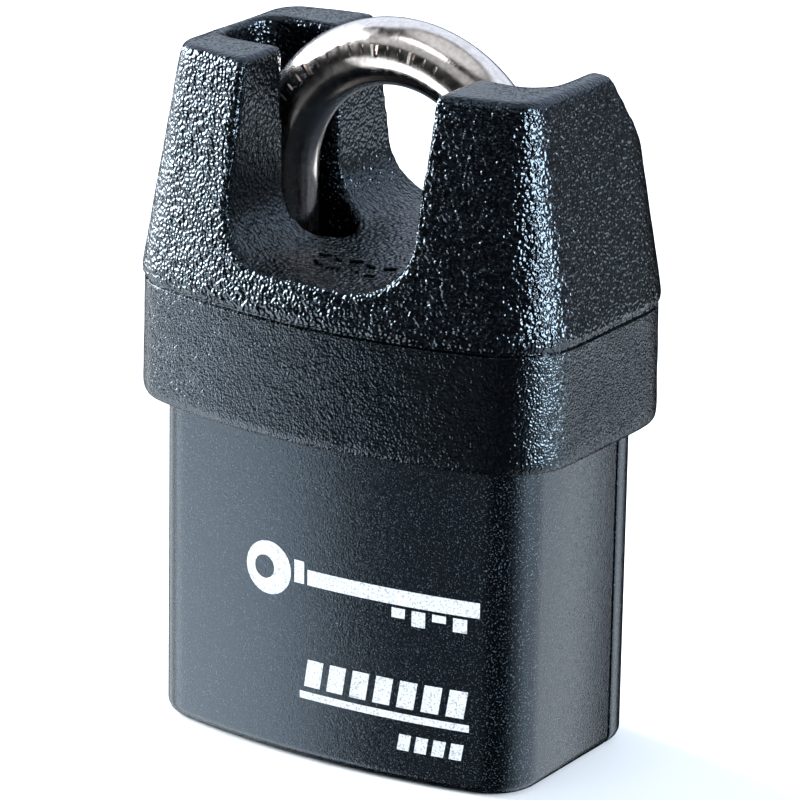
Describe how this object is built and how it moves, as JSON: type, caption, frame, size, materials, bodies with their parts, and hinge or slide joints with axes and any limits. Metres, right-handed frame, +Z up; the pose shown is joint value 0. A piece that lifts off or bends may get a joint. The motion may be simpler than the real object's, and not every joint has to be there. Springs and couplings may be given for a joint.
{
  "type": "shrouded padlock",
  "caption": "Upright black padlock whose polished round shackle sits in the channel of a tapered cast shroud, over a smooth covered body with a key cylinder below.",
  "frame": {"origin": "middle of the underside, at the body's lower face", "axes": "+Z up towards the shackle, -Y out of the front, +X towards the toe leg"},
  "size_m": [0.0588, 0.0418, 0.0875],
  "materials": {
    "shroud_paint": "textured black paint on a casting",
    "cover_front_plastic": "fine-grained black moulding",
    "cover_rear_plastic": "fine-grained black moulding",
    "plate_steel": "stamped, lightly oiled",
    "rivet_steel": "headed",
    "shackle_chrome": "polished plating",
    "spring_steel": "drawn wire",
    "ball_steel": "ground and hardened",
    "brass": "machined",
    "plug_brass": "machined",
    "clip_steel": "stamped",
    "cam_steel": "sintered",
    "screw_steel": "machined"
  },
  "bodies": {
    "lock_body": {"shroud": "shroud_paint", "front_cover": "cover_front_plastic", "rear_cover": "cover_rear_plastic", "lamination_01": "plate_steel", "lamination_02": "plate_steel", "lamination_03": "plate_steel", "lamination_04": "plate_steel", "lamination_05": "plate_steel", "lamination_06": "plate_steel", "lamination_07": "plate_steel", "lamination_08": "plate_steel", "lamination_09": "plate_steel", "lamination_10": "plate_steel", "lamination_11": "plate_steel", "lamination_12": "plate_steel", "lamination_13": "plate_steel", "bottom_plate": "plate_steel", "cylinder_retainer": "plate_steel", "rivet_1": "rivet_steel", "rivet_2": "rivet_steel", "rivet_3": "rivet_steel", "rivet_4": "rivet_steel", "shackle_spring": "spring_steel", "cylinder_housing": "brass", "driver_pin_1": "brass", "pin_spring_1": "spring_steel", "driver_pin_2": "brass", "pin_spring_2": "spring_steel", "driver_pin_3": "brass", "pin_spring_3": "spring_steel", "driver_pin_4": "brass", "pin_spring_4": "spring_steel", "driver_pin_5": "brass", "pin_spring_5": "spring_steel", "chamber_cover": "brass", "cylinder_screw": "screw_steel"},
    "shackle": {"shackle": "shackle_chrome"},
    "plug": {"plug": "plug_brass", "key_pin_1": "brass", "key_pin_2": "brass", "key_pin_3": "brass", "key_pin_4": "brass", "key_pin_5": "brass", "plug_clip": "clip_steel", "tailpiece": "clip_steel", "locking_cam": "cam_steel"},
    "ball_heel": {"ball_heel": "ball_steel"},
    "ball_toe": {"ball_toe": "ball_steel"}
  },
  "joints": [
    {"name": "shackle_lift", "type": "slide", "parent": "lock_body", "child": "shackle", "axis": [0, 0, 1], "range_m": [0, 0.019], "deforming": ["shackle_spring"]},
    {"name": "plug_turn", "type": "hinge", "parent": "lock_body", "child": "plug", "pos_m": [0, 0, 0.02], "axis": [0, 0, 1], "range_deg": [0, 90]},
    {"name": "ball_heel_slide", "type": "slide", "parent": "lock_body", "child": "ball_heel", "axis": [-1, 0, 0], "range_m": [0, 0.0018]},
    {"name": "ball_toe_slide", "type": "slide", "parent": "lock_body", "child": "ball_toe", "axis": [1, 0, 0], "range_m": [0, 0.0018]}
  ],
  "couplings": [
    {"joint": "ball_heel_slide", "follows": "plug_turn", "m_per_rad": 0.001145},
    {"joint": "ball_toe_slide", "follows": "plug_turn", "m_per_rad": 0.001145}
  ]
}
